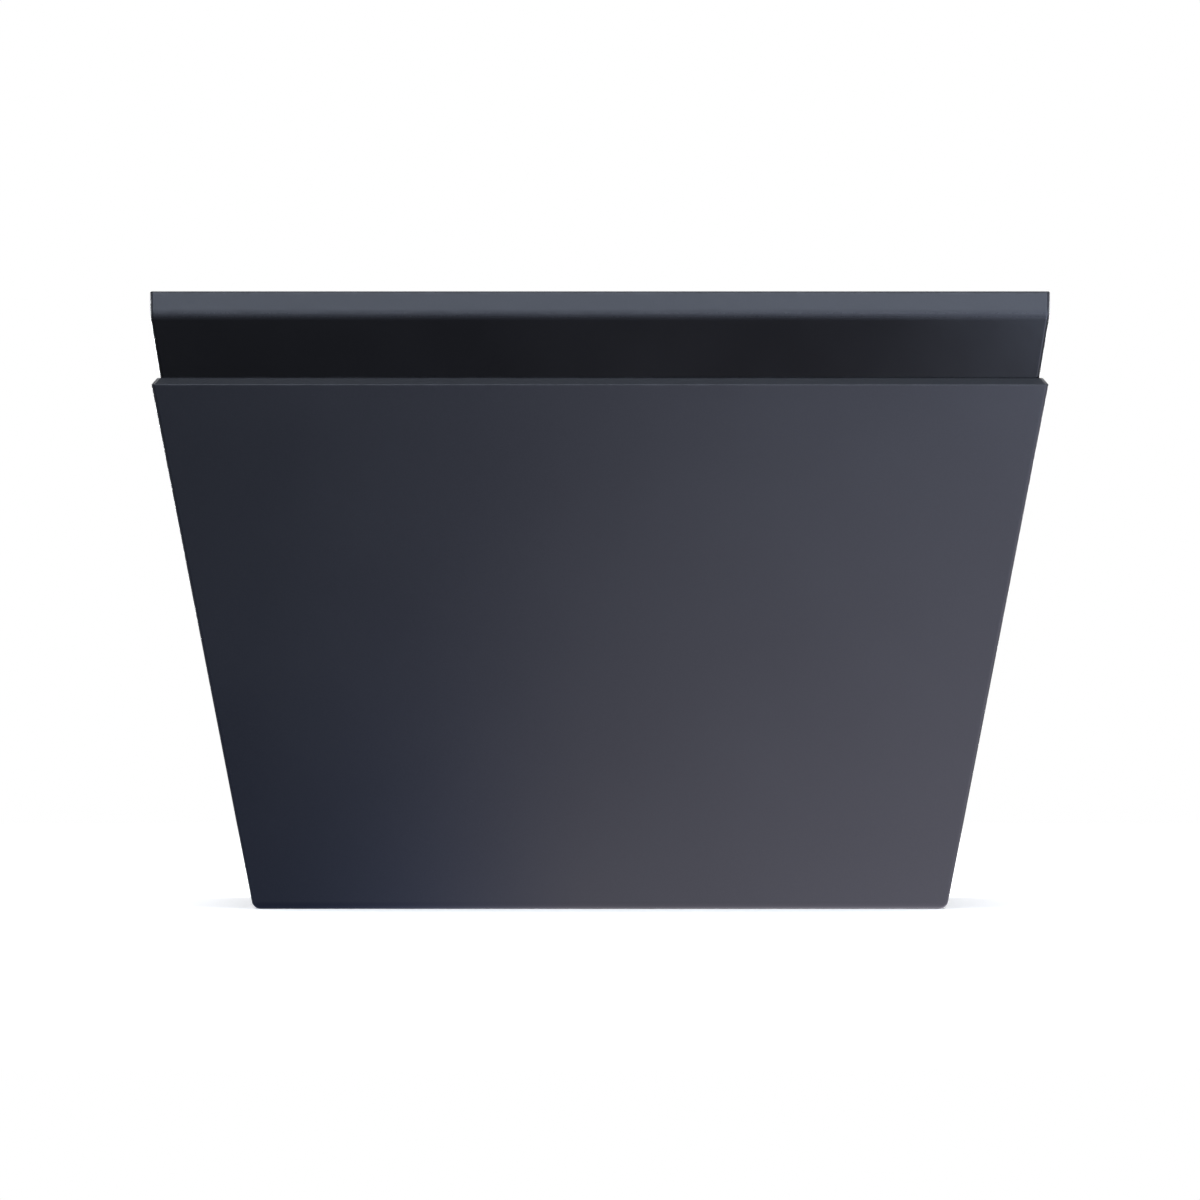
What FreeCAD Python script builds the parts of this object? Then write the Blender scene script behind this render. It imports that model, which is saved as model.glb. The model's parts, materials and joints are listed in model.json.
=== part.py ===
import FreeCAD, Part
import math
import os

# Flared square fence post cap for a nominal 4 x 4 inch (89 mm) post.
#
# A square top plate sits on a narrow black neck, which plugs into the mouth of a tapered body shell.
# Inside the shell a seat plate rests on four wall brackets. A square sleeve hangs from the seat plate
# and slides down over the post. Four pillars tie the top plate to the seat plate, so that no screw
# shows outside. Two bushed holes, in the left and right walls, take wood screws into the post.
#
# Frame: millimetres, +Z up, origin at the middle of the bottom rim, front face towards -Y.

# Post
POST_W = 89.0            # side of the post that the cap fits
POST_PLAY = 1.5          # gap between post and sleeve, each side

# Body shell
RIM_W = 100.8            # outer width at the bottom rim
MOUTH_W = 130.0          # width at the top, before the lip is chamfered
BODY_H = 77.0
WALL = 2.2               # wall thickness, measured level
LIP_H = 1.0              # height of the chamfer along the top lip
LIP_IN = 0.85            # how far the chamfer goes in
LIP_LOW_R = 0.15
LIP_TOP_R = 0.4
RIM_R = 1.3              # rounding of the bottom rim
CORNER_R = 0.5           # rounding of every outer upright corner

# Neck ring
NECK_H = 9.25            # visible height
NECK_TOP_W = 129.94      # width under the top plate
NECK_LOW_W = 127.04      # width where it meets the lip
NECK_BEND_R = 10.4       # curve that carries on from the plate's edge into the leaning neck
NECK_BEND_H = 0.47       # how far the middle of the curve is below the plate
NECK_BEND_IN = 0.033     # how far it comes in
NECK_WALL = 2.0
PLUG_H = 8.0             # depth of its skirt inside the shell
PLUG_GAP = 0.35          # clearance between the skirt and the shell
NECK_FLANGE = 6.0        # width of its inner flange, under the top plate

# Top plate: an upright edge whose foot curves in to run on smoothly into the leaning neck
PLATE_W = 130.0
PLATE_H = 3.25           # height of its edge
PLATE_SKIN = 1.6
PLATE_RIM = 2.2          # width of its downturned edge
PLATE_TOP_R = 0.3
BEND_R = 10.4            # curve at the foot of its edge
BEND_H = 0.364           # height of the middle of the curve
BEND_IN = 0.025          # how far the foot comes in
BOSS_R = 4.9             # bosses that the pillars screw into
GASKET_GAP = 0.2         # gap between the gasket and the plate's edge
GASKET_W = 3.6

# Seat plate, and the soft pad under it that the post's top meets
SEAT_Z = 45.0            # underside of the seat plate
SEAT_T = 2.0
SEAT_GAP = 0.25          # clearance between seat plate and shell
SEAT_CORNER_R = 2.0
PAD_T = 4.0
PAD_GAP = 0.4            # clearance between pad and sleeve
PAD_CORNER_R = 1.5

# Sleeve
SLEEVE_T = 1.2
SLEEVE_Z = 1.5           # lower edge
SLEEVE_BEND_R = 0.6      # inside of its upright bends
TAB_W = 14.0             # fixing tabs along the top edge
TAB_OUT = 7.0
TAB_AT = 35.0            # tab centres, from the middle of each side
RIVET_AT = 51.0          # rivet rows, from the cap's axis

# Wall brackets
BRACKET_W = 40.0
BRACKET_T = 1.6
BRACKET_DROP = 13.0      # height of the leg along the wall
BRACKET_REACH = 8.6      # width of the ledge that carries the seat plate
BRACKET_SCREW_AT = 50.8  # screws, from the cap's axis

# Pillars between seat plate and top plate
PILLAR_AT = 36.0         # from the cap's axis in X and in Y
PILLAR_AF = 7.0          # across flats
PILLAR_TAP_DEEP = 12.0
STUD_L = 2.0
STUD_END_GAP = 0.3

# Side fixing holes and the bushes behind them
SIDE_HOLE_Z = 15.0
SIDE_HOLE_R = 2.25
BUSH_R = 4.0

# Soft strips that take up the play on the post
GRIP_W = 50.0
GRIP_H = 16.0
GRIP_T = 1.1
GRIP_Z = 21.0
GRIP_CHAMFER = 0.6

# Seal between sleeve and rim
SEAL_TOP = 5.0
SEAL_LOW = 0.4

# Fasteners: radii of thread, head, clearance hole and tapped hole, and height of the head
M4 = {"thread": 1.9, "head": 4.0, "head_h": 2.4, "hole": 2.25, "tap": 2.0}
M3 = {"thread": 1.4, "head": 2.8, "head_h": 2.0, "hole": 1.7, "tap": 1.5}
HEAD_ROUNDING = 0.45     # rounding of a pan head, as a share of its height
DRIVE_AF = 2.0           # hexagon socket
DRIVE_DEEP = 1.2
THREAD_CHAMFER = 0.4
PILLAR_SCREW_IN = 8.0    # thread inside the pillar
BRACKET_SCREW_OUT = 0.8  # thread past the nut
WASHER_R = 4.6
WASHER_T = 0.8
PAD_HOLE_R = 5.6         # room in the pad round each pillar screw
NUT_AF = 5.5
NUT_H = 2.4
RIVET_HEAD = (3.0, 1.0, 0.7)     # radius, height and rounding
RIVET_TAIL = (2.5, 1.6, 0.6)
RIVET_SHANK_R = 1.6

# Worked out from the above
PLATE_Z = BODY_H + NECK_H
TOP_Z = PLATE_Z + PLATE_H
SEAT_TOP = SEAT_Z + SEAT_T
PAD_Z = SEAT_Z - PAD_T
SLEEVE_IN = POST_W / 2 + POST_PLAY
SLEEVE_OUT = SLEEVE_IN + SLEEVE_T
TAPER = (MOUTH_W - RIM_W) / 2 / BODY_H
FAR = PLATE_W            # further out than anything in the cap
PAST = 1.0               # how far a cut runs past the face it opens

UP = FreeCAD.Vector(0, 0, 1)
ALONG_X = FreeCAD.Vector(1, 0, 0)
CENTRE = FreeCAD.Vector(0, 0, 0)
QUARTER_TURNS = {"right": 0, "rear": 90, "left": 180, "front": 270}
PILLAR_SPOTS = [(sx * PILLAR_AT, sy * PILLAR_AT) for sx in (-1, 1) for sy in (-1, 1)]


def vec(x, y, z):
    return FreeCAD.Vector(x, y, z)


def turned(shape, degrees):
    copy = shape.copy()
    copy.rotate(CENTRE, UP, degrees)
    return copy


def on_four_sides(shape):
    return [turned(shape, degrees) for degrees in QUARTER_TURNS.values()]


def shell_outside(z):
    """Half width of the shell's outer faces at height z."""
    return RIM_W / 2 + TAPER * z


def shell_inside(z):
    """Half width of the space inside the shell at height z."""
    return shell_outside(z) - WALL


def rounded_corner(before, corner, after, radius):
    """Start, middle and end of the arc that rounds a corner between two neighbours."""
    back = before - corner
    onward = after - corner
    half_angle = back.getAngle(onward) / 2
    back.normalize()
    onward.normalize()
    inward = (back + onward).normalize()
    to_tangent = radius / math.tan(half_angle)
    to_arc = radius / math.sin(half_angle) - radius
    return corner + back * to_tangent, corner + inward * to_arc, corner + onward * to_tangent


def square_solid(outline):
    """Body that is square in plan, from the right half of its front outline, listed from the bottom up.

    An entry (x, z) is a sharp corner. An entry (x, z, radius) is a corner rounded to that radius.
    """
    loop = list(outline) + [(-corner[0], *corner[1:]) for corner in reversed(outline)]
    far = max(corner[0] for corner in outline)
    points = [vec(corner[0], -far, corner[1]) for corner in loop]
    corners = []
    for k, corner in enumerate(loop):
        if len(corner) == 3:
            corners.append(rounded_corner(points[k - 1], points[k], points[(k + 1) % len(points)], corner[2]))
        else:
            corners.append((points[k],))
    edges = []
    for k, corner in enumerate(corners):
        if len(corner) == 3:
            edges.append(Part.Arc(*corner).toShape())
        edges.append(Part.makeLine(corner[-1], corners[(k + 1) % len(corners)][0]))
    run = Part.Face(Part.Wire(edges)).extrude(vec(0, 2 * far, 0))
    return run.common(turned(run, 90))


def frustum(half_low, half_high, z_low, z_high):
    """Square block whose side walls lean evenly from one width to another."""
    return square_solid([(half_low, z_low), (half_high, z_high)])


def block(half, z_low, z_high):
    return frustum(half, half, z_low, z_high)


def bar(x_low, x_high, y_low, y_high, z_low, z_high):
    return Part.makeBox(x_high - x_low, y_high - y_low, z_high - z_low, vec(x_low, y_low, z_low))


def rod(radius, x, y, z_low, z_high):
    return Part.makeCylinder(radius, z_high - z_low, vec(x, y, z_low), UP)


def hex_rod(across_flats, x, y, z_low, z_high):
    corner = across_flats / math.sqrt(3)
    angles = [k * math.pi / 3 for k in range(7)]
    points = [vec(x + corner * math.cos(a), y + corner * math.sin(a), z_low) for a in angles]
    return Part.Face(Part.makePolygon(points)).extrude(vec(0, 0, z_high - z_low))


def level_edges(solid, z):
    """Edges that lie in the level plane at height z."""
    return [e for e in solid.Edges
            if abs(e.BoundBox.ZMin - z) < 1e-4 and abs(e.BoundBox.ZMax - z) < 1e-4]


def upright_rounded(solid, radius):
    """The same solid with its upright corners rounded."""
    return solid.makeFillet(radius, [e for e in solid.Edges if e.BoundBox.ZLength > 1e-3])


def side_hole(radius):
    """A rod right through the cap along X, at the fixing holes."""
    return Part.makeCylinder(radius, 2 * FAR, vec(-FAR, 0, SIDE_HOLE_Z), ALONG_X)


def body_shell():
    lip_z = BODY_H - LIP_H
    rounded = square_solid([
        (shell_outside(0), 0, RIM_R),
        (shell_outside(lip_z), lip_z, LIP_LOW_R),
        (shell_outside(lip_z) - LIP_IN, BODY_H, LIP_TOP_R),
    ])
    plain = frustum(shell_outside(0), shell_outside(BODY_H), 0, BODY_H)
    outer = rounded.common(upright_rounded(plain, CORNER_R))
    inside = frustum(shell_inside(-PAST), shell_inside(BODY_H + PAST), -PAST, BODY_H + PAST)
    return outer.cut(inside).cut(side_hole(SIDE_HOLE_R))


def neck_ring():
    lean = (NECK_TOP_W - NECK_LOW_W) / 2
    low_half = NECK_LOW_W / 2
    bend_half = NECK_TOP_W / 2 - NECK_BEND_IN
    curved = square_solid([
        (low_half, BODY_H),
        (bend_half, PLATE_Z - NECK_BEND_H, NECK_BEND_R),
        (NECK_TOP_W / 2, PLATE_Z),
    ])
    straight_top = low_half + (bend_half - low_half) * NECK_H / (NECK_H - NECK_BEND_H)
    band = curved.common(upright_rounded(frustum(low_half, straight_top, BODY_H, PLATE_Z), CORNER_R))
    plug_top = shell_inside(BODY_H) - PLUG_GAP
    plug_low = shell_inside(BODY_H - PLUG_H) - PLUG_GAP
    plug = frustum(plug_low, plug_top, BODY_H - PLUG_H, BODY_H)
    plug_void = frustum(plug_low - NECK_WALL, plug_top - NECK_WALL, BODY_H - PLUG_H, BODY_H)
    flange_z = PLATE_Z - NECK_WALL
    band_void = frustum(plug_top - NECK_WALL, plug_top - NECK_WALL + lean, BODY_H, flange_z)
    opening = block(NECK_TOP_W / 2 - NECK_WALL - NECK_FLANGE, flange_z, PLATE_Z)
    return band.fuse(plug).cut(plug_void).cut(band_void).cut(opening).removeSplitter()


def top_plate():
    half = PLATE_W / 2
    rounded = square_solid([
        (half - BEND_IN, PLATE_Z),
        (half, PLATE_Z + BEND_H, BEND_R),
        (half, TOP_Z, PLATE_TOP_R),
    ])
    plate = rounded.common(upright_rounded(block(half, PLATE_Z, TOP_Z), CORNER_R))
    plate = plate.cut(block(half - PLATE_RIM, PLATE_Z - PAST, TOP_Z - PLATE_SKIN))
    for x, y in PILLAR_SPOTS:
        plate = plate.fuse(rod(BOSS_R, x, y, PLATE_Z, TOP_Z - PLATE_SKIN))
        plate = plate.cut(rod(M4["tap"], x, y, PLATE_Z, PLATE_Z + STUD_L + STUD_END_GAP))
    return plate.removeSplitter()


def lid_gasket():
    half = PLATE_W / 2 - PLATE_RIM - GASKET_GAP
    outer = block(half, PLATE_Z, TOP_Z - PLATE_SKIN)
    return outer.cut(block(half - GASKET_W, PLATE_Z - PAST, TOP_Z))


def seat_plate():
    plate = upright_rounded(block(shell_inside(SEAT_Z) - SEAT_GAP, SEAT_Z, SEAT_TOP), SEAT_CORNER_R)
    for x, y in PILLAR_SPOTS:
        plate = plate.cut(rod(M4["hole"], x, y, SEAT_Z - PAST, SEAT_TOP + PAST))
    for x, y in ((BRACKET_SCREW_AT, 0), (RIVET_AT, TAB_AT), (RIVET_AT, -TAB_AT)):
        for hole in on_four_sides(rod(M3["hole"], x, y, SEAT_Z - PAST, SEAT_TOP + PAST)):
            plate = plate.cut(hole)
    return plate


def post_pad():
    pad = upright_rounded(block(SLEEVE_IN - PAD_GAP, PAD_Z, SEAT_Z), PAD_CORNER_R)
    for x, y in PILLAR_SPOTS:
        pad = pad.cut(rod(PAD_HOLE_R, x, y, PAD_Z - PAST, SEAT_Z + PAST))
    return pad


def post_sleeve():
    low = SEAT_Z - SLEEVE_T
    tube = upright_rounded(block(SLEEVE_OUT, SLEEVE_Z, SEAT_Z), SLEEVE_T + SLEEVE_BEND_R)
    for middle in (-TAB_AT, TAB_AT):
        tab = bar(SLEEVE_IN, SLEEVE_OUT + TAB_OUT, middle - TAB_W / 2, middle + TAB_W / 2, low, SEAT_Z)
        tab = tab.cut(rod(M3["hole"], RIVET_AT, middle, low - PAST, SEAT_Z + PAST))
        for one in on_four_sides(tab):
            tube = tube.fuse(one)
    inside = upright_rounded(block(SLEEVE_IN, SLEEVE_Z - PAST, SEAT_Z + PAST), SLEEVE_BEND_R)
    return tube.cut(inside).cut(side_hole(SIDE_HOLE_R)).removeSplitter()


def sleeve_rivets():
    """Rivets that hold the sleeve's tabs to the seat plate, head below and tail above."""
    rivets = []
    low = SEAT_Z - SLEEVE_T
    for y in (-TAB_AT, TAB_AT):
        radius, height, rounding = RIVET_HEAD
        head = rod(radius, RIVET_AT, y, low - height, low)
        head = head.makeFillet(rounding, level_edges(head, low - height))
        radius, height, rounding = RIVET_TAIL
        tail = rod(radius, RIVET_AT, y, SEAT_TOP, SEAT_TOP + height)
        tail = tail.makeFillet(rounding, level_edges(tail, SEAT_TOP + height))
        shank = rod(RIVET_SHANK_R, RIVET_AT, y, low, SEAT_TOP)
        rivets += on_four_sides(head.fuse(shank).fuse(tail))
    return Part.makeCompound(rivets)


def wall_bracket():
    """Angle on the right wall: a ledge under the seat plate and a leg down the shell's wall."""
    low = SEAT_Z - BRACKET_DROP
    ledge_z = SEAT_Z - BRACKET_T
    ledge_in = shell_inside(SEAT_Z) - BRACKET_REACH
    outline = [
        (shell_inside(SEAT_Z), SEAT_Z),
        (ledge_in, SEAT_Z),
        (ledge_in, ledge_z),
        (shell_inside(ledge_z) - BRACKET_T, ledge_z),
        (shell_inside(low) - BRACKET_T, low),
        (shell_inside(low), low),
    ]
    points = [vec(x, -BRACKET_W / 2, z) for x, z in outline]
    bracket = Part.Face(Part.makePolygon(points + points[:1])).extrude(vec(0, BRACKET_W, 0))
    return bracket.cut(rod(M3["hole"], BRACKET_SCREW_AT, 0, ledge_z - PAST, SEAT_Z + PAST))


def screw(size, x, y, head_z, point_z):
    """Pan-head screw: the head's bearing face is at head_z and the thread ends at point_z."""
    way = 1 if point_z < head_z else -1
    head_end = head_z + way * size["head_h"]
    socket_end = head_end - way * DRIVE_DEEP
    head = rod(size["head"], x, y, min(head_z, head_end), max(head_z, head_end))
    head = head.makeFillet(size["head_h"] * HEAD_ROUNDING, level_edges(head, head_end))
    socket = hex_rod(DRIVE_AF, x, y, min(head_end, socket_end), max(head_end, socket_end))
    thread = rod(size["thread"], x, y, min(head_z, point_z), max(head_z, point_z))
    thread = thread.makeChamfer(THREAD_CHAMFER, level_edges(thread, point_z))
    return head.cut(socket).fuse(thread)


def bracket_screws():
    end = SEAT_Z - BRACKET_T - NUT_H - BRACKET_SCREW_OUT
    return Part.makeCompound(on_four_sides(screw(M3, BRACKET_SCREW_AT, 0, SEAT_TOP, end)))


def bracket_nuts():
    top = SEAT_Z - BRACKET_T
    nut = hex_rod(NUT_AF, BRACKET_SCREW_AT, 0, top - NUT_H, top)
    nut = nut.cut(rod(M3["tap"], BRACKET_SCREW_AT, 0, top - NUT_H - PAST, top + PAST))
    return Part.makeCompound(on_four_sides(nut))


def lid_pillars():
    pillars = []
    for x, y in PILLAR_SPOTS:
        pillar = hex_rod(PILLAR_AF, x, y, SEAT_TOP, PLATE_Z)
        pillar = pillar.cut(rod(M4["tap"], x, y, SEAT_TOP - PAST, SEAT_TOP + PILLAR_TAP_DEEP))
        pillars.append(pillar.fuse(rod(M4["thread"], x, y, PLATE_Z, PLATE_Z + STUD_L)))
    return Part.makeCompound(pillars)


def pillar_screws():
    screws = [screw(M4, x, y, SEAT_Z - WASHER_T, SEAT_TOP + PILLAR_SCREW_IN) for x, y in PILLAR_SPOTS]
    return Part.makeCompound(screws)


def pillar_washers():
    washers = []
    for x, y in PILLAR_SPOTS:
        disc = rod(WASHER_R, x, y, SEAT_Z - WASHER_T, SEAT_Z)
        washers.append(disc.cut(rod(M4["hole"], x, y, SEAT_Z - WASHER_T - PAST, SEAT_Z + PAST)))
    return Part.makeCompound(washers)


def sleeve_pad():
    """Soft strip on the inside of the sleeve's right wall, chamfered where the post slides in."""
    face_x = SLEEVE_IN - GRIP_T
    strip = bar(face_x, SLEEVE_IN, -GRIP_W / 2, GRIP_W / 2, GRIP_Z, GRIP_Z + GRIP_H)
    return strip.makeChamfer(GRIP_CHAMFER, [e for e in strip.Edges if e.BoundBox.XMax < face_x + 1e-4])


def screw_bush():
    """Spacer round the right fixing hole, between the sleeve and the leaning shell wall."""
    tube = side_hole(BUSH_R).cut(side_hole(SIDE_HOLE_R))
    tube = tube.common(frustum(shell_inside(0), shell_inside(BODY_H), 0, BODY_H))
    tube = tube.cut(block(SLEEVE_OUT, 0, SEAT_Z))
    return tube.common(bar(0, FAR, -FAR, FAR, 0, SEAT_Z))


def rim_seal():
    """Wedge between sleeve and shell, with a lip under the sleeve's lower edge."""
    outer = frustum(shell_inside(SEAL_LOW), shell_inside(SEAL_TOP), SEAL_LOW, SEAL_TOP)
    opening = block(SLEEVE_IN, SEAL_LOW - PAST, SLEEVE_Z)
    return outer.cut(opening).cut(block(SLEEVE_OUT, SLEEVE_Z, SEAL_TOP + PAST))


def all_parts():
    makers = (top_plate, lid_gasket, neck_ring, body_shell, seat_plate, post_pad, post_sleeve,
              sleeve_rivets, bracket_screws, bracket_nuts, lid_pillars, pillar_screws,
              pillar_washers, rim_seal)
    parts = {maker.__name__: maker() for maker in makers}
    for side, degrees in QUARTER_TURNS.items():
        parts["wall_bracket_" + side] = turned(wall_bracket(), degrees)
        parts["sleeve_pad_" + side] = turned(sleeve_pad(), degrees)
    for side in ("right", "left"):
        parts["screw_bush_" + side] = turned(screw_bush(), QUARTER_TURNS[side])
    return parts


os.makedirs("parts", exist_ok=True)
for name, shape in all_parts().items():
    shape.exportStep("parts/" + name + ".step")
    print(name, len(shape.Solids), "valid" if shape.isValid() else "NOT VALID", round(shape.Volume, 1))
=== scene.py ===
import json
import math

import bmesh
import bpy
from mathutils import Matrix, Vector


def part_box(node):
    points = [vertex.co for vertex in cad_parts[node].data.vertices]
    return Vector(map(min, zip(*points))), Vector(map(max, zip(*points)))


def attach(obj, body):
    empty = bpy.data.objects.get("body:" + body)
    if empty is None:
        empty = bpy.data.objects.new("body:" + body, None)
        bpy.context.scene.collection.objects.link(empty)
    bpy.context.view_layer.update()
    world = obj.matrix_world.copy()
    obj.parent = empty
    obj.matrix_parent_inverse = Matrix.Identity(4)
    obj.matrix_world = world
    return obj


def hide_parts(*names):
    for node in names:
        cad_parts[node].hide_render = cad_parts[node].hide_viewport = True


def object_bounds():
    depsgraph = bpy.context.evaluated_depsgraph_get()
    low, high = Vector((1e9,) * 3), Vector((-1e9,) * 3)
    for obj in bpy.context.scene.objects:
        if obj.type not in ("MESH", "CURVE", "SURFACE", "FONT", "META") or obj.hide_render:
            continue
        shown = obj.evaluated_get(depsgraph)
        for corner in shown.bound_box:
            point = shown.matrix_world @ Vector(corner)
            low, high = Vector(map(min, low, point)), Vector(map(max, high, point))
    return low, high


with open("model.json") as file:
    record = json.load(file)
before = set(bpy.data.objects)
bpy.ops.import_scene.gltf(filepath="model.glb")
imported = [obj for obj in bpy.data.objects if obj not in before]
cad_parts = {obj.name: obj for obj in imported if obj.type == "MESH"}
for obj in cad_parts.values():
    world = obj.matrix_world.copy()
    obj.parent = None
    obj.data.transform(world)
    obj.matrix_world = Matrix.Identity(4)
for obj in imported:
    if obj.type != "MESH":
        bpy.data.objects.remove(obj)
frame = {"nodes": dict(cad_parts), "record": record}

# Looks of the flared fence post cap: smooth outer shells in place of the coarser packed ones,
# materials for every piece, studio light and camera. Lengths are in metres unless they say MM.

cad_low, cad_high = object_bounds()

MM = 0.001

# Body shell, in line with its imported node
RIM_HALF = 50.4 * MM
MOUTH_HALF = 65.0 * MM             # where the wall's line meets the top, before the lip's chamfer
WALL = 2.2 * MM
LIP_H = 1.0 * MM                   # chamfer along the lip
LIP_IN = 0.85 * MM
LIP_LOW_R = 0.15 * MM
LIP_TOP_R = 0.4 * MM
RIM_R = 1.3 * MM
CORNER_R = 0.5 * MM                # outer upright corners of all three shells
EDGE_R = 0.3 * MM                  # inner edges, softened by the coating
SIDE_HOLE_R = 2.25 * MM

# Neck ring
NECK_LOW_HALF = 63.52 * MM
NECK_BEND_R = 10.4 * MM            # curve shared with the foot of the plate's edge
NECK_BEND_H = 0.47 * MM
NECK_BEND_IN = 0.033 * MM
NECK_WALL = 2.0 * MM
NECK_FLANGE = 6.0 * MM
PLUG_GAP = 0.35 * MM
PLUG_H = 8.0 * MM
PAINTED_FADE_H = 1.0 * MM                  # reach of the painted lighter fade at the top of the neck, below the plate

# Top plate
PLATE_SKIN = 1.6 * MM
PLATE_RIM = 2.2 * MM
PLATE_TOP_R = 0.3 * MM
BEND_R = 10.4 * MM                 # curve at the foot of the edge
BEND_H = 0.364 * MM
BEND_IN = 0.025 * MM
BOSS_R = 4.9 * MM
BOSS_HOLE_R = 2.0 * MM
BOSS_AT = 36.0 * MM
BOSS_DEEP = 2.3 * MM

ARC_STEP = math.radians(7)         # most that a rounded edge turns from one facet to the next
ARC_FEWEST = 5
CORNER_STEPS = 8                   # facets round an upright corner
BOSS_STEPS = 40
HOLE_STEPS = 64
FLOOR_STEPS = 96
SHARP_ANGLE = math.radians(32)
FACE_WEIGHT = 100                  # how much the large faces steer the shading
EDGE_DOT = (0.90, 0.998)           # agreement of rounded and true normal, on an edge and off it
EDGE_SAMPLES = 6
SHELLS = ("body_shell", "neck_ring", "top_plate")

# Camera: level, in line with the front wall, far enough away to keep the sides nearly parallel
LENS_MM = 500.0
SENSOR_MM = 36.0
FRAME_OVER_WIDTH = 4 / 3           # width of the picture over the width of the top plate
CAMERA_RISE = 0.14 * MM            # above mid-height, which centres the cap in the picture
CAMERA_REACH = 50

FLOOR_R = 0.9
FLOOR_FADE = (0.35, 0.98)          # shares of the radius between which the floor fades away
FLOOR_GAP = 0.02 * MM
FLOOR_TONE = 0.95
FLOOR_GLOW = 0.25                  # lifts the floor towards white where the camera sees it
FLOOR_BOUNCE = 0.10                # how pale the floor is to the light that reaches the cap

# Soft boxes: place and aim, width and height, power in watts, colour
LIGHTS = {
    "front_panel": ((0.0, -1.60, 0.30), (0.0, -0.06, 0.08), (1.6, 0.5), 12.0, (0.74, 0.83, 1.0)),
    "front_top": ((0.0, -0.50, 0.80), (0.0, -0.20, 0.0), (0.9, 0.4), 3.6, (0.81, 0.89, 1.0)),
    "overhead": ((0.0, 0.45, 1.20), (0.0, 0.0, 0.0), (1.2, 0.9), 16.0, (0.97, 0.98, 1.0)),
    "side_right": ((1.30, 0.42, 0.045), (0.0, 0.0, 0.045), (1.0, 0.08), 9.0, (0.93, 0.95, 1.0)),
    "side_left": ((-1.30, 0.42, 0.045), (0.0, 0.0, 0.045), (1.0, 0.08), 9.0, (0.93, 0.95, 1.0)),
    "rear_strip": ((0.0, 1.60, 0.045), (0.0, 0.06, 0.045), (1.6, 0.08), 12.0, (0.93, 0.95, 1.0)),
    "under_fill": ((0.25, -0.20, -0.60), (0.0, 0.0, 0.02), (1.4, 1.4), 40.0, (1.0, 1.0, 1.0)),
    "low_card": ((0.15, -0.25, 0.035), (0.055, -0.065, 0.080), (0.18, 0.05), 0.046, (0.65, 0.75, 1.0)),
    "floor_wash": ((0.0, 0.0, 1.50), (0.0, 0.0, 0.0), (2.2, 2.2), 24.0, (1.0, 1.0, 1.0)),
}

# Glowing card that lies on the floor in front of the cap and lights it from below. It is faint and
# bluish at the left, bright at the right, and grows fainter towards the camera.
CARD_X = (-0.200, 0.260)
CARD_Y = (-0.280, -0.045)
CARD_Z = 0.05 * MM
CARD_RISE = (-0.050, 0.005)        # where the bright part fades in
CARD_CLIMB = (0.005, 0.090)
CARD_STRENGTH = (1.05, 1.05)       # what the rise and the climb add
CARD_FAR = 0.55                    # share of them that is left at the far end
CARD_BASE = 0.26                   # strength of the faint part near the cap
CARD_BASE_Y = (-0.180, -0.045)
CARD_LEFT = (0.55, 0.68, 1.25)
CARD_RIGHT = (0.90, 0.86, 1.0)
LOW_CARD_SPREAD = math.radians(80)

# Black card that shades the lid from the front panel
FLAG_HALF = 0.140
FLAG_H = 0.045
FLAG_GAP = 0.1 * MM

AMBIENT = (0.05, 0.05, 0.055)


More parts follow.
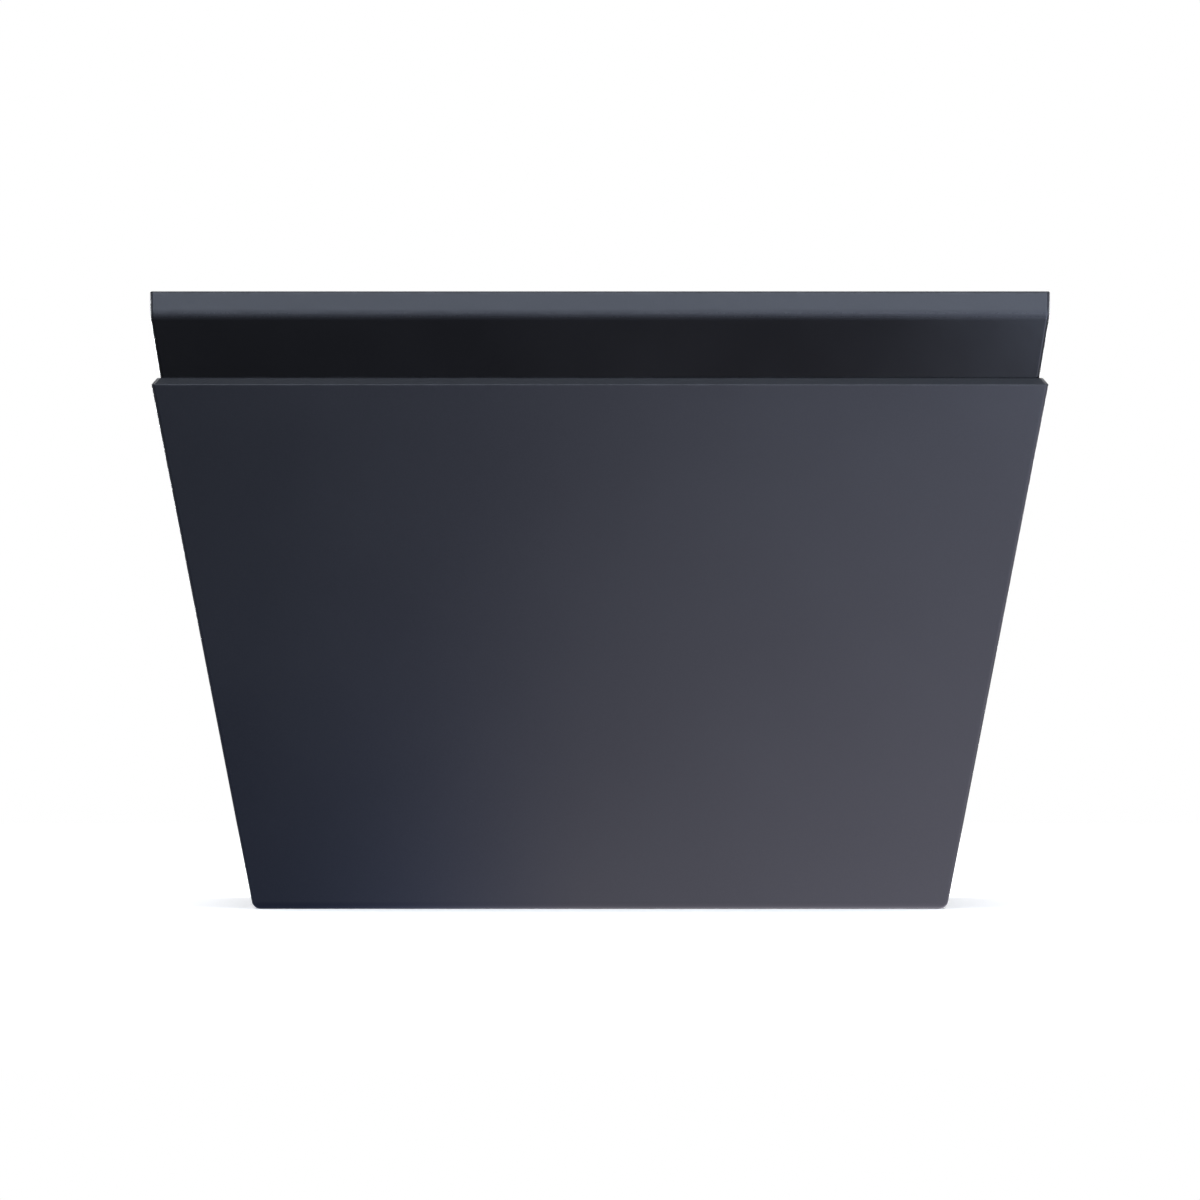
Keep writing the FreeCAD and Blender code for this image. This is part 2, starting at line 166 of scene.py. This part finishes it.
class Shader:
    """A node material with short ways to add and join nodes."""

    def __init__(self, name):
        self.material = bpy.data.materials.new(name)
        self.material.use_nodes = True
        self.nodes = self.material.node_tree.nodes
        self.links = self.material.node_tree.links
        self.bsdf = self.nodes["Principled BSDF"]
        self.place = self.nodes.new("ShaderNodeTexCoord").outputs["Object"]

    def set(self, **values):
        for name, value in values.items():
            self.bsdf.inputs[name.replace("_", " ")].default_value = value

    def join(self, source, target):
        self.links.new(source, target)

    def axis(self, name):
        """One coordinate of the place on the object."""
        split = self.nodes.new("ShaderNodeSeparateXYZ")
        self.join(self.place, split.inputs["Vector"])
        return split.outputs[name]

    def noise(self, scale, detail=2.0, roughness=0.5, stretch=(1, 1, 1)):
        mapping = self.nodes.new("ShaderNodeMapping")
        mapping.inputs["Scale"].default_value = stretch
        self.join(self.place, mapping.inputs["Vector"])
        node = self.nodes.new("ShaderNodeTexNoise")
        node.inputs["Scale"].default_value = scale
        node.inputs["Detail"].default_value = detail
        node.inputs["Roughness"].default_value = roughness
        self.join(mapping.outputs["Vector"], node.inputs["Vector"])
        return node.outputs["Fac"]

    def spread(self, source, low, high, from_low=0.0, from_high=1.0, smooth=False):
        """Stretches a value from one range to another, held inside the new range."""
        node = self.nodes.new("ShaderNodeMapRange")
        node.interpolation_type = "SMOOTHSTEP" if smooth else "LINEAR"
        node.inputs["From Min"].default_value = from_low
        node.inputs["From Max"].default_value = from_high
        node.inputs["To Min"].default_value = low
        node.inputs["To Max"].default_value = high
        self.join(source, node.inputs["Value"])
        return node.outputs["Result"]

    def math(self, operation, a, b):
        node = self.nodes.new("ShaderNodeMath")
        node.operation = operation
        for k, value in enumerate((a, b)):
            if isinstance(value, (int, float)):
                node.inputs[k].default_value = value
            else:
                self.join(value, node.inputs[k])
        return node.outputs["Value"]

    def blend(self, factor, first, second):
        """Mixes two colours by a factor between 0 and 1."""
        node = self.nodes.new("ShaderNodeMix")
        node.data_type = "RGBA"
        self.join(factor, node.inputs["Factor"])
        for socket, colour in ((node.inputs["A"], first), (node.inputs["B"], second)):
            if isinstance(colour, tuple):
                socket.default_value = (*colour, 1.0)
            else:
                self.join(colour, socket)
        return node.outputs["Result"]

    def edges(self, radius):
        """0 on a flat surface, rising to 1 on edges sharper than the radius."""
        bevel = self.nodes.new("ShaderNodeBevel")
        bevel.inputs["Radius"].default_value = radius
        bevel.samples = EDGE_SAMPLES
        true_normal = self.nodes.new("ShaderNodeNewGeometry").outputs["Normal"]
        dot = self.nodes.new("ShaderNodeVectorMath")
        dot.operation = "DOT_PRODUCT"
        self.join(bevel.outputs["Normal"], dot.inputs[0])
        self.join(true_normal, dot.inputs[1])
        return self.spread(dot.outputs["Value"], 1.0, 0.0, *EDGE_DOT)

    def bump(self, height, distance, strength=1.0, under=None):
        node = self.nodes.new("ShaderNodeBump")
        node.inputs["Strength"].default_value = strength
        node.inputs["Distance"].default_value = distance
        self.join(height, node.inputs["Height"])
        if under is not None:
            self.join(under, node.inputs["Normal"])
        return node.outputs["Normal"]

    def finish(self, colour, roughness, normal):
        self.join(colour, self.bsdf.inputs["Base Color"])
        self.join(roughness, self.bsdf.inputs["Roughness"])
        self.join(normal, self.bsdf.inputs["Normal"])
        return self.material


def powder_coat():
    """Satin anthracite powder coat: orange peel, fine grain, faint cloudiness, slightly rubbed edges."""
    s = Shader("powder_coat")
    s.set(Specular_IOR_Level=0.5, IOR=1.5)
    cloud = s.noise(18, 3, 0.55)
    grain = s.noise(5200, 2, 0.6)
    peel = s.noise(620, 2, 0.45)
    rub = s.math("MULTIPLY", s.edges(0.7 * MM), s.spread(s.noise(260, 4, 0.65), 0.0, 1.0, 0.42, 0.62))
    tone = s.blend(s.spread(cloud, 0, 1, 0.3, 0.7), (0.014, 0.015, 0.019), (0.018, 0.019, 0.023))
    tone = s.blend(s.spread(grain, 0, 0.35, 0.35, 0.75), tone, (0.028, 0.029, 0.034))
    colour = s.blend(s.math("MULTIPLY", rub, 0.35), tone, (0.12, 0.12, 0.13))
    rough = s.math("ADD", s.spread(cloud, 0.29, 0.33, 0.3, 0.7), s.spread(grain, -0.02, 0.03))
    rough = s.math("SUBTRACT", rough, s.math("MULTIPLY", rub, 0.08))
    normal = s.bump(grain, 0.004 * MM, under=s.bump(peel, 0.012 * MM))
    return s.finish(colour, rough, normal)


def neck_black():
    """Smooth black moulding with a low gloss. Its top edge is painted lighter, a painted light fade for the
    soft shade below the plate's lit edge, and it is rougher there with a stronger specular level.
    """
    s = Shader("neck_black")
    s.set(IOR=1.48)
    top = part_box("neck_ring")[1].z
    # Painted light: over the top of the neck the colour fades lighter. This stands in for the soft shade
    # where the plate's lit edge turns into the dark neck. The same mask raises roughness and specular
    # level.
    painted_top_fade = s.spread(s.axis("Z"), 0.0, 1.0, top - PAINTED_FADE_H, top)
    s.join(s.spread(painted_top_fade, 0.35, 0.5), s.bsdf.inputs["Specular IOR Level"])
    haze = s.noise(40, 3, 0.5)
    grain = s.noise(3600, 2, 0.5)
    rub = s.math("MULTIPLY", s.edges(0.5 * MM), s.spread(s.noise(300, 3, 0.6), 0, 1, 0.45, 0.6))
    tone = s.blend(s.spread(haze, 0, 1, 0.3, 0.7), (0.004, 0.004, 0.005), (0.006, 0.006, 0.007))
    # painted light: lighter colour towards the top edge of the neck
    tone = s.blend(painted_top_fade, tone, (0.016, 0.017, 0.021))
    colour = s.blend(s.math("MULTIPLY", rub, 0.25), tone, (0.05, 0.05, 0.052))
    rough = s.math("ADD", s.spread(haze, 0.17, 0.21, 0.3, 0.7), s.spread(grain, -0.02, 0.02))
    rough = s.math("ADD", rough, s.math("MULTIPLY", painted_top_fade, 0.14))
    normal = s.bump(grain, 0.002 * MM, under=s.bump(s.noise(240, 2, 0.5), 0.010 * MM))
    return s.finish(colour, rough, normal)


def epdm():
    """Matt black rubber with fine pores and a dusty bloom."""
    s = Shader("epdm")
    s.set(Specular_IOR_Level=0.35)
    pores = s.noise(2600, 4, 0.7)
    bloom = s.noise(60, 4, 0.6)
    colour = s.blend(s.spread(bloom, 0, 1, 0.4, 0.75), (0.012, 0.012, 0.013), (0.030, 0.030, 0.031))
    rough = s.spread(bloom, 0.70, 0.88, 0.3, 0.7)
    return s.finish(colour, rough, s.bump(pores, 0.04 * MM))


def mill_aluminium():
    """Bare sheet with rolling lines along X, light handling marks and a dull oxide."""
    s = Shader("mill_aluminium")
    s.set(Metallic=1.0)
    lines = s.noise(900, 3, 0.6, stretch=(0.03, 1, 1))
    stain = s.noise(55, 5, 0.6)
    colour = s.blend(s.spread(stain, 0, 1, 0.35, 0.7), (0.60, 0.61, 0.62), (0.50, 0.51, 0.53))
    rough = s.math("ADD", s.spread(stain, 0.30, 0.46, 0.3, 0.7), s.spread(lines, -0.06, 0.06))
    return s.finish(colour, rough, s.bump(lines, 0.006 * MM))


def stainless():
    """Stainless fixings: a fine grain and a soft polish."""
    s = Shader("stainless")
    s.set(Metallic=1.0)
    smear = s.noise(400, 3, 0.55)
    colour = s.blend(s.spread(smear, 0, 1, 0.3, 0.7), (0.56, 0.55, 0.53), (0.47, 0.47, 0.46))
    rough = s.spread(smear, 0.22, 0.36, 0.3, 0.7)
    return s.finish(colour, rough, s.bump(s.noise(2400, 2, 0.5), 0.004 * MM))


def zinc_steel():
    """Bright zinc plate with a faint bluish cast and cloudy spots."""
    s = Shader("zinc_steel")
    s.set(Metallic=1.0)
    spangle = s.noise(220, 4, 0.65)
    colour = s.blend(s.spread(spangle, 0, 1, 0.35, 0.65), (0.58, 0.60, 0.63), (0.44, 0.46, 0.49))
    rough = s.spread(spangle, 0.28, 0.44, 0.3, 0.7)
    return s.finish(colour, rough, s.bump(spangle, 0.006 * MM))


def nylon():
    """Natural nylon, waxy, with moulding haze."""
    s = Shader("nylon")
    s.set(Subsurface_Weight=0.15, Subsurface_Scale=0.002)
    haze = s.noise(180, 3, 0.5)
    colour = s.blend(haze, (0.72, 0.70, 0.64), (0.64, 0.61, 0.55))
    return s.finish(colour, s.spread(haze, 0.42, 0.55), s.bump(s.noise(1500, 2, 0.5), 0.006 * MM))


def rounded_corner(before, corner, after, radius):
    """Points along the arc that rounds a corner between two neighbours."""
    back = (before - corner).normalized()
    onward = (after - corner).normalized()
    half_angle = back.angle(onward) / 2
    middle = corner + (back + onward).normalized() * (radius / math.sin(half_angle))
    first = corner + back * (radius / math.tan(half_angle)) - middle
    last = corner + onward * (radius / math.tan(half_angle)) - middle
    sweep = first.angle(last)
    steps = max(ARC_FEWEST, math.ceil(sweep / ARC_STEP))
    points = []
    for k in range(steps + 1):
        share = k / steps
        mix = first * math.sin((1 - share) * sweep) + last * math.sin(share * sweep)
        points.append(middle + mix / math.sin(sweep))
    return points


def smooth_outline(corners, closed=True):
    """Outline of (half width, height) points, from corners that may carry a rounding radius."""
    flat = [Vector(corner[:2]) for corner in corners]
    points = []
    for k, corner in enumerate(corners):
        at_end = not closed and k in (0, len(corners) - 1)
        if len(corner) == 3 and not at_end:
            points += rounded_corner(flat[k - 1], flat[k], flat[(k + 1) % len(flat)], corner[2])
        else:
            points.append(flat[k])
    return points


def square_ring(mesh, half, z, corner_r):
    """One level ring of vertices: a square with rounded corners."""
    ring = []
    for turn in range(4):
        for k in range(CORNER_STEPS + 1):
            angle = (turn + k / CORNER_STEPS) * math.pi / 2
            middle = (turn + 0.5) * math.pi / 2
            x = (half - corner_r) * math.copysign(1, math.cos(middle)) + corner_r * math.cos(angle)
            y = (half - corner_r) * math.copysign(1, math.sin(middle)) + corner_r * math.sin(angle)
            ring.append(mesh.verts.new((x, y, z)))
    return ring


def join_rings(mesh, one, other):
    count = len(one)
    for k in range(count):
        mesh.faces.new((one[k], one[(k + 1) % count], other[(k + 1) % count], other[k]))


def square_loft(mesh, outline, corner_r, closed=True):
    """Sweeps an outline round a square. An open outline is closed by flat caps at both ends."""
    rings = [square_ring(mesh, point.x, point.y, corner_r) for point in outline]
    for one, other in zip(rings, rings[1:]):
        join_rings(mesh, one, other)
    if closed:
        join_rings(mesh, rings[-1], rings[0])
    else:
        mesh.faces.new(reversed(rings[0]))
        mesh.faces.new(rings[-1])


def round_ring(mesh, radius, x, y, z):
    turn = 2 * math.pi / BOSS_STEPS
    return [mesh.verts.new((x + radius * math.cos(k * turn), y + radius * math.sin(k * turn), z))
            for k in range(BOSS_STEPS)]


def round_loft(mesh, outline, x, y):
    """Turned solid from an open outline of (radius, height) points, capped at both ends."""
    rings = [round_ring(mesh, radius, x, y, z) for radius, z in outline]
    for one, other in zip(rings, rings[1:]):
        join_rings(mesh, one, other)
    mesh.faces.new(reversed(rings[0]))
    mesh.faces.new(rings[-1])


def piece(name, mesh):
    """Turns the built mesh into an object."""
    bmesh.ops.recalc_face_normals(mesh, faces=mesh.faces)
    data = bpy.data.meshes.new(name)
    mesh.to_mesh(data)
    mesh.free()
    made = bpy.data.objects.new(name, data)
    bpy.context.scene.collection.objects.link(made)
    return made


def shade(made):
    """Smooth shading, with crisp edges and flat faces that stay flat."""
    made.data.shade_smooth()
    made.data.set_sharp_from_angle(angle=SHARP_ANGLE)
    weigh = made.modifiers.new("even_normals", "WEIGHTED_NORMAL")
    weigh.keep_sharp = True
    weigh.weight = FACE_WEIGHT


def combine(made, tool, operation):
    """Fuses the tool onto the object or cuts it out, and takes the tool away."""
    change = made.modifiers.new("change", "BOOLEAN")
    change.operation = operation
    change.solver = "EXACT"
    change.object = tool
    made.data = bpy.data.meshes.new_from_object(made.evaluated_get(bpy.context.evaluated_depsgraph_get()))
    made.modifiers.remove(change)
    bpy.data.objects.remove(tool)


def drill(made, radius, low, high):
    """Cuts a straight round hole from one point to another."""
    run = Vector(high) - Vector(low)
    bpy.ops.mesh.primitive_cylinder_add(vertices=HOLE_STEPS, radius=radius, depth=run.length,
                                        location=(Vector(low) + Vector(high)) / 2,
                                        rotation=run.to_track_quat("Z", "Y").to_euler())
    combine(made, bpy.context.object, "DIFFERENCE")


def stand_in(made, node):
    shade(made)
    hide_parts(node)
    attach(made, "root")
    return made


def wall_lean():
    """How far the body's walls go outwards for each unit of height."""
    low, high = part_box("body_shell")
    return (MOUTH_HALF - RIM_HALF) / (high.z - low.z)


def body_shell():
    low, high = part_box("body_shell")
    lean = wall_lean()
    lip_half = MOUTH_HALF - lean * LIP_H
    mesh = bmesh.new()
    square_loft(mesh, smooth_outline([
        (RIM_HALF, low.z, RIM_R),
        (lip_half, high.z - LIP_H, LIP_LOW_R),
        (lip_half - LIP_IN, high.z, LIP_TOP_R),
        (MOUTH_HALF - WALL, high.z, EDGE_R),
        (RIM_HALF - WALL, low.z, EDGE_R),
    ]), CORNER_R)
    made = piece("body_shell_smooth", mesh)
    bush_low, bush_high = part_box("screw_bush_right")
    hole_z = (bush_low.z + bush_high.z) / 2
    reach = RIM_HALF + lean * hole_z + WALL
    drill(made, SIDE_HOLE_R, (-reach, 0, hole_z), (reach, 0, hole_z))
    return stand_in(made, "body_shell")


def neck_ring():
    low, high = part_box("neck_ring")
    seat_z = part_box("body_shell")[1].z
    plug_top = MOUTH_HALF - WALL - PLUG_GAP
    plug_low = plug_top - wall_lean() * PLUG_H
    flange_z = high.z - NECK_WALL
    void_top = plug_top - NECK_WALL + high.x - NECK_LOW_HALF
    opening = high.x - NECK_WALL - NECK_FLANGE
    mesh = bmesh.new()
    square_loft(mesh, smooth_outline([
        (NECK_LOW_HALF, seat_z),
        (high.x - NECK_BEND_IN, high.z - NECK_BEND_H, NECK_BEND_R),
        (high.x, high.z),
        (opening, high.z, EDGE_R),
        (opening, flange_z, EDGE_R),
        (void_top, flange_z),
        (plug_top - NECK_WALL, seat_z),
        (plug_low - NECK_WALL, low.z, EDGE_R),
        (plug_low, low.z, EDGE_R),
        (plug_top, seat_z),
    ]), CORNER_R)
    return stand_in(piece("neck_ring_smooth", mesh), "neck_ring")


def top_plate():
    low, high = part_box("top_plate")
    half = high.x
    roof_z = high.z - PLATE_SKIN
    mesh = bmesh.new()
    square_loft(mesh, smooth_outline([
        (half - PLATE_RIM - CORNER_R, roof_z),
        (half - PLATE_RIM, roof_z),
        (half - PLATE_RIM, low.z),
        (half - BEND_IN, low.z),
        (half, low.z + BEND_H, BEND_R),
        (half, high.z, PLATE_TOP_R),
        (half - PLATE_RIM, high.z),
    ], closed=False), CORNER_R, closed=False)
    made = piece("top_plate_smooth", mesh)
    for x, y in [(sx * BOSS_AT, sy * BOSS_AT) for sx in (-1, 1) for sy in (-1, 1)]:
        boss = bmesh.new()
        round_loft(boss, [
            (BOSS_HOLE_R, low.z + BOSS_DEEP),
            (BOSS_HOLE_R, low.z),
            (BOSS_R, low.z),
            (BOSS_R, roof_z + PLATE_SKIN / 2),
        ], x, y)
        combine(made, piece("boss", boss), "UNION")
    return stand_in(made, "top_plate")


def dress_pieces():
    makers = (powder_coat, neck_black, epdm, mill_aluminium, stainless, zinc_steel, nylon)
    materials = {maker.__name__: maker() for maker in makers}
    shells = {"body_shell": body_shell(), "neck_ring": neck_ring(), "top_plate": top_plate()}
    for row in frame["record"]["subparts"]:
        material = materials[row["material_slot"]]
        for made in (frame["nodes"][row["node"]], shells.get(row["node"])):
            if made is not None:
                made.data.materials.clear()
                made.data.materials.append(material)


def floor():
    """Round pale floor that fades into the backdrop and can't be seen from below."""
    bpy.ops.mesh.primitive_circle_add(vertices=FLOOR_STEPS, radius=FLOOR_R, fill_type="NGON",
                                      location=(0, 0, cad_low.z - FLOOR_GAP))
    disc = bpy.context.object
    disc.name = "floor"
    s = Shader("floor")
    s.set(Roughness=0.9, Specular_IOR_Level=0.1)
    seen = s.nodes.new("ShaderNodeLightPath").outputs["Is Camera Ray"]
    s.join(s.spread(seen, FLOOR_BOUNCE, FLOOR_TONE), s.bsdf.inputs["Base Color"])
    s.bsdf.inputs["Emission Color"].default_value = (1.0, 1.0, 1.0, 1.0)
    s.join(s.spread(seen, 0.0, FLOOR_GLOW), s.bsdf.inputs["Emission Strength"])
    length = s.nodes.new("ShaderNodeVectorMath")
    length.operation = "LENGTH"
    s.join(s.place, length.inputs[0])
    fade = s.spread(length.outputs["Value"], 1.0, 0.0, *(share * FLOOR_R for share in FLOOR_FADE))
    below = s.nodes.new("ShaderNodeNewGeometry").outputs["Backfacing"]
    s.join(s.math("MULTIPLY", fade, s.math("SUBTRACT", 1.0, below)), s.bsdf.inputs["Alpha"])
    disc.data.materials.append(s.material)
    return disc


def backdrop():
    """White where the camera sees it, dimmer as a source of light."""
    world = bpy.data.worlds.new("studio")
    bpy.context.scene.world = world
    world.use_nodes = True
    nodes = world.node_tree.nodes
    links = world.node_tree.links
    ambient = nodes["Background"]
    ambient.inputs["Color"].default_value = (*AMBIENT, 1.0)
    white = nodes.new("ShaderNodeBackground")
    white.inputs["Color"].default_value = (1.0, 1.0, 1.0, 1.0)
    mix = nodes.new("ShaderNodeMixShader")
    links.new(nodes.new("ShaderNodeLightPath").outputs["Is Camera Ray"], mix.inputs["Fac"])
    links.new(ambient.outputs["Background"], mix.inputs[1])
    links.new(white.outputs["Background"], mix.inputs[2])
    links.new(mix.outputs["Shader"], nodes["World Output"].inputs["Surface"])


def flat_card(name, corners, material):
    """One flat face that the camera doesn't see."""
    mesh = bmesh.new()
    mesh.faces.new([mesh.verts.new(corner) for corner in corners])
    card = piece(name, mesh)
    card.data.materials.append(material)
    card.visible_camera = False
    return card


def soft_box(name, place, aim, size, power, colour):
    """Area light that the camera doesn't see."""
    lamp = bpy.data.lights.new(name, "AREA")
    lamp.shape = "RECTANGLE"
    lamp.size, lamp.size_y = size
    lamp.energy = power
    lamp.color = colour
    box = bpy.data.objects.new(name, lamp)
    box.location = place
    box.rotation_euler = (Vector(aim) - Vector(place)).to_track_quat("-Z", "Y").to_euler()
    box.visible_camera = False
    bpy.context.scene.collection.objects.link(box)
    return box


def light_only(box, receivers):
    """The box lights these objects alone. Gives their collection back."""
    lit = bpy.data.collections.new(box.name + "_receivers")
    for made in receivers:
        lit.objects.link(made)
    box.light_linking.receiver_collection = lit
    return lit


def soft_boxes(disc):
    """All the lights. The floor wash lights only the floor, to keep it white. The light from
    underneath reaches, and is blocked by, only the pieces inside the cap."""
    boxes = {name: soft_box(name, *row) for name, row in LIGHTS.items()}
    light_only(boxes["floor_wash"], [disc])
    inner = [made for name, made in frame["nodes"].items() if name not in SHELLS]
    boxes["under_fill"].light_linking.blocker_collection = light_only(boxes["under_fill"], inner)
    boxes["low_card"].data.spread = LOW_CARD_SPREAD
    lid_flag([boxes[name] for name in LIGHTS if name not in ("front_panel", "under_fill")])


def lid_flag(others):
    """Black upright card along the front edge of the lid. It blocks the front panel alone, and so
    keeps that panel's glare off the upper face."""
    s = Shader("lid_flag")
    s.set(Base_Color=(0.0, 0.0, 0.0, 1.0), Roughness=1.0, Specular_IOR_Level=0.0)
    y = cad_low.y + PLATE_TOP_R
    foot = cad_high.z + FLAG_GAP
    head = foot + FLAG_H
    card = flat_card("lid_flag", (
        (-FLAG_HALF, y, foot), (FLAG_HALF, y, foot),
        (FLAG_HALF, y, head), (-FLAG_HALF, y, head)), s.material)
    others_pass = bpy.data.collections.new("all_but_flag")
    others_pass.objects.link(card)
    others_pass.collection_objects[0].light_linking.link_state = "EXCLUDE"
    for box in others:
        box.light_linking.blocker_collection = others_pass


def floor_card():
    """The glowing card: it shines upwards only and casts no shadow."""
    s = Shader("floor_card")
    across, along = s.axis("X"), s.axis("Y")
    rise = s.spread(across, 0.0, CARD_STRENGTH[0], *CARD_RISE, smooth=True)
    climb = s.spread(across, 0.0, CARD_STRENGTH[1], *CARD_CLIMB)
    fade = s.spread(along, CARD_FAR, 1.0, *CARD_Y)
    base = s.spread(along, 0.0, CARD_BASE, *CARD_BASE_Y)
    strength = s.math("ADD", s.math("MULTIPLY", s.math("ADD", rise, climb), fade), base)
    glow = s.nodes.new("ShaderNodeEmission")
    s.join(s.blend(rise, CARD_LEFT, CARD_RIGHT), glow.inputs["Color"])
    s.join(strength, glow.inputs["Strength"])
    clear = s.nodes.new("ShaderNodeBsdfTransparent")
    mix = s.nodes.new("ShaderNodeMixShader")
    s.join(s.nodes.new("ShaderNodeNewGeometry").outputs["Backfacing"], mix.inputs["Fac"])
    s.join(glow.outputs["Emission"], mix.inputs[1])
    s.join(clear.outputs["BSDF"], mix.inputs[2])
    s.join(mix.outputs["Shader"], s.nodes["Material Output"].inputs["Surface"])
    s.nodes.remove(s.bsdf)
    (left, right), (near, far) = CARD_X, CARD_Y
    card = flat_card("floor_card", (
        (left, near, CARD_Z), (right, near, CARD_Z), (right, far, CARD_Z), (left, far, CARD_Z)), s.material)
    card.visible_shadow = False


def camera():
    low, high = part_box("top_plate")
    seen_width = (high.x - low.x) * FRAME_OVER_WIDTH
    distance = seen_width * LENS_MM / SENSOR_MM
    data = bpy.data.cameras.new("camera")
    data.lens = LENS_MM
    data.sensor_width = SENSOR_MM
    data.clip_end = CAMERA_REACH
    eye = bpy.data.objects.new("camera", data)
    eye.location = ((low.x + high.x) / 2, low.y - distance, (cad_low.z + cad_high.z) / 2 + CAMERA_RISE)
    eye.rotation_euler = (math.pi / 2, 0, 0)
    bpy.context.scene.collection.objects.link(eye)
    bpy.context.scene.camera = eye


dress_pieces()
backdrop()
soft_boxes(floor())
floor_card()
camera()
bpy.context.scene.view_settings.view_transform = "Standard"
